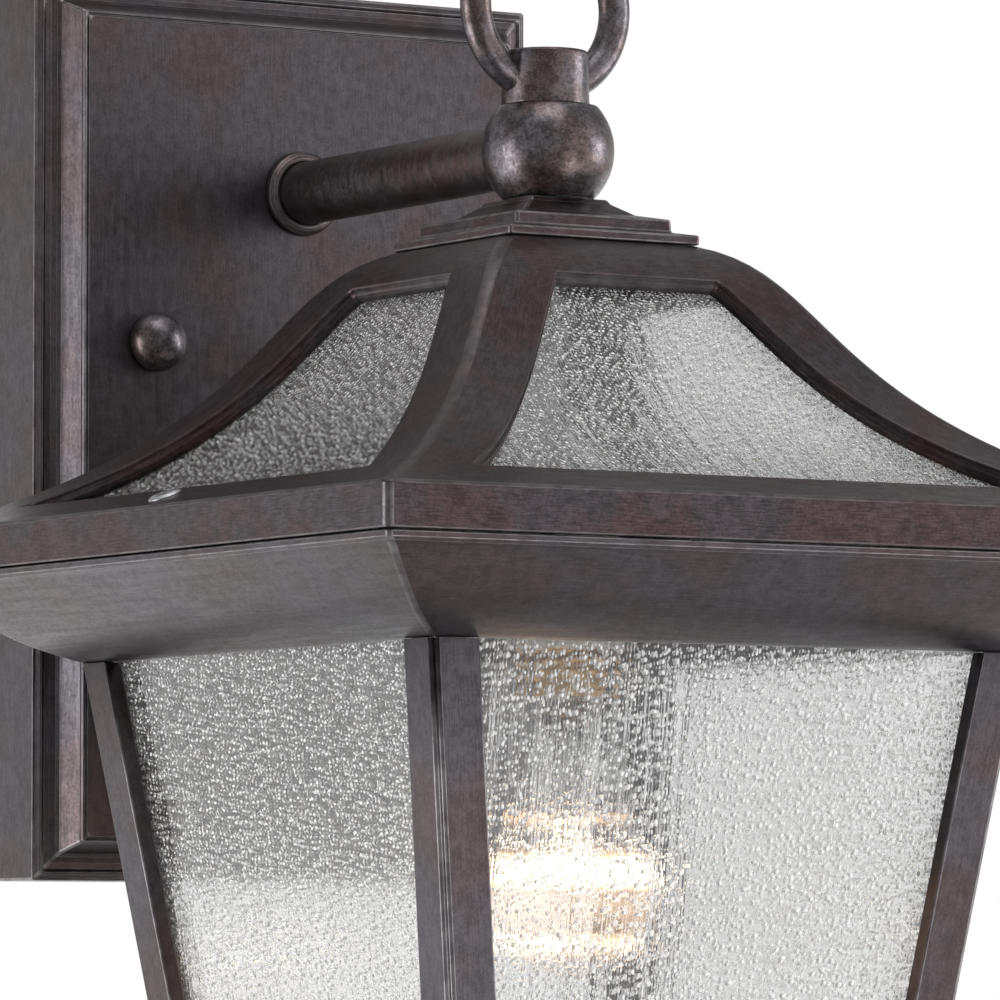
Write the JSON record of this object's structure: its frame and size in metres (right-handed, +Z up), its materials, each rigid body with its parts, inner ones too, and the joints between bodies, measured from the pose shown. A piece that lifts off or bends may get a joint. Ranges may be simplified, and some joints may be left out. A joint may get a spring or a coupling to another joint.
{
  "type": "outdoor wall lantern",
  "caption": "Square tapered wall lantern with seeded glass sides, a concave glass roof, ball and ring on top, held by a round arm on a moulded wall plate, with a clear bulb inside.",
  "frame": {"origin": "middle of the mounting bar's back face, on the wall", "axes": "+Z up, +Y into the wall, so the lantern stands out along -Y; +X to the right for someone facing the wall"},
  "size_m": [0.2668, 0.3058, 0.4771],
  "materials": {
    "bronze": "dark bronze paint, brushed and lightly worn to a lighter brown on edges",
    "zinc_steel": "zinc plated",
    "green_screw": "green passivated",
    "porcelain": "glazed porcelain",
    "lamp_brass": "plain, slightly dulled",
    "seeded_glass": "clear, with small bubbles and fine vertical draw lines",
    "clear_glass": "clear bulb glass",
    "tungsten": "glowing when lit"
  },
  "bodies": {
    "fixture": {"wall_plate": "bronze", "mounting_bar": "zinc_steel", "mount_stud_left": "zinc_steel", "stud_nut_left": "zinc_steel", "mount_stud_right": "zinc_steel", "stud_nut_right": "zinc_steel", "ground_screw": "green_screw", "arm_tube": "bronze", "arm_collar": "bronze", "arm_pipe": "zinc_steel", "arm_lock_nut": "zinc_steel", "arm_ball": "bronze", "ring_neck": "bronze", "top_ring": "bronze", "roof_rib_front_left": "bronze", "roof_rib_front_right": "bronze", "roof_rib_back_right": "bronze", "roof_rib_back_left": "bronze", "roof_pane_front": "seeded_glass", "roof_pane_right": "seeded_glass", "roof_pane_back": "seeded_glass", "roof_pane_left": "seeded_glass", "roof_cap": "bronze", "roof_crown": "bronze", "roof_rim": "bronze", "eave_screw_left": "bronze", "eave_screw_right": "bronze", "corner_post_front_left": "bronze", "corner_post_front_right": "bronze", "corner_post_back_right": "bronze", "corner_post_back_left": "bronze", "side_pane_front": "seeded_glass", "side_pane_right": "seeded_glass", "side_pane_back": "seeded_glass", "side_pane_left": "seeded_glass", "glass_clip_front": "zinc_steel", "glass_clip_right": "zinc_steel", "glass_clip_back": "zinc_steel", "glass_clip_left": "zinc_steel", "cage_top": "bronze", "base_frame": "bronze", "frame_hinge_leaf": "bronze", "hinge_pin": "zinc_steel", "lantern_pipe": "zinc_steel", "roof_lock_nut": "zinc_steel", "holder_body": "porcelain", "holder_shell": "lamp_brass", "holder_contact": "lamp_brass", "holder_cap": "zinc_steel"},
    "cap_nut_left": {"cap_nut_left": "bronze"},
    "cap_nut_right": {"cap_nut_right": "bronze"},
    "bulb": {"bulb_glass": "clear_glass", "bulb_base": "lamp_brass", "bulb_stem": "clear_glass", "bulb_filament": "tungsten"},
    "tray": {"tray": "bronze", "tray_finial": "bronze", "tray_hinge_leaf": "bronze"},
    "thumb_screw": {"thumb_screw": "bronze"}
  },
  "joints": [
    {"name": "cap_nut_left_turn", "type": "hinge", "parent": "fixture", "child": "cap_nut_left", "pos_m": [-0.051, -0.04, 0], "axis": [0, -1, 0], "continuous": true},
    {"name": "cap_nut_right_turn", "type": "hinge", "parent": "fixture", "child": "cap_nut_right", "pos_m": [0.051, -0.04, 0], "axis": [0, -1, 0], "continuous": true},
    {"name": "bulb_turn", "type": "hinge", "parent": "fixture", "child": "bulb", "pos_m": [0.0045, -0.1754, -0.1], "axis": [0, 0, -1], "range_deg": [0, 900]},
    {"name": "tray_swing", "type": "hinge", "parent": "fixture", "child": "tray", "pos_m": [0, -0.0939, -0.3238], "axis": [1, 0, 0], "range_deg": [0, 95]},
    {"name": "thumb_screw_turn", "type": "hinge", "parent": "tray", "child": "thumb_screw", "pos_m": [0, -0.2339, -0.328], "axis": [0, 0, -1], "continuous": true}
  ]
}
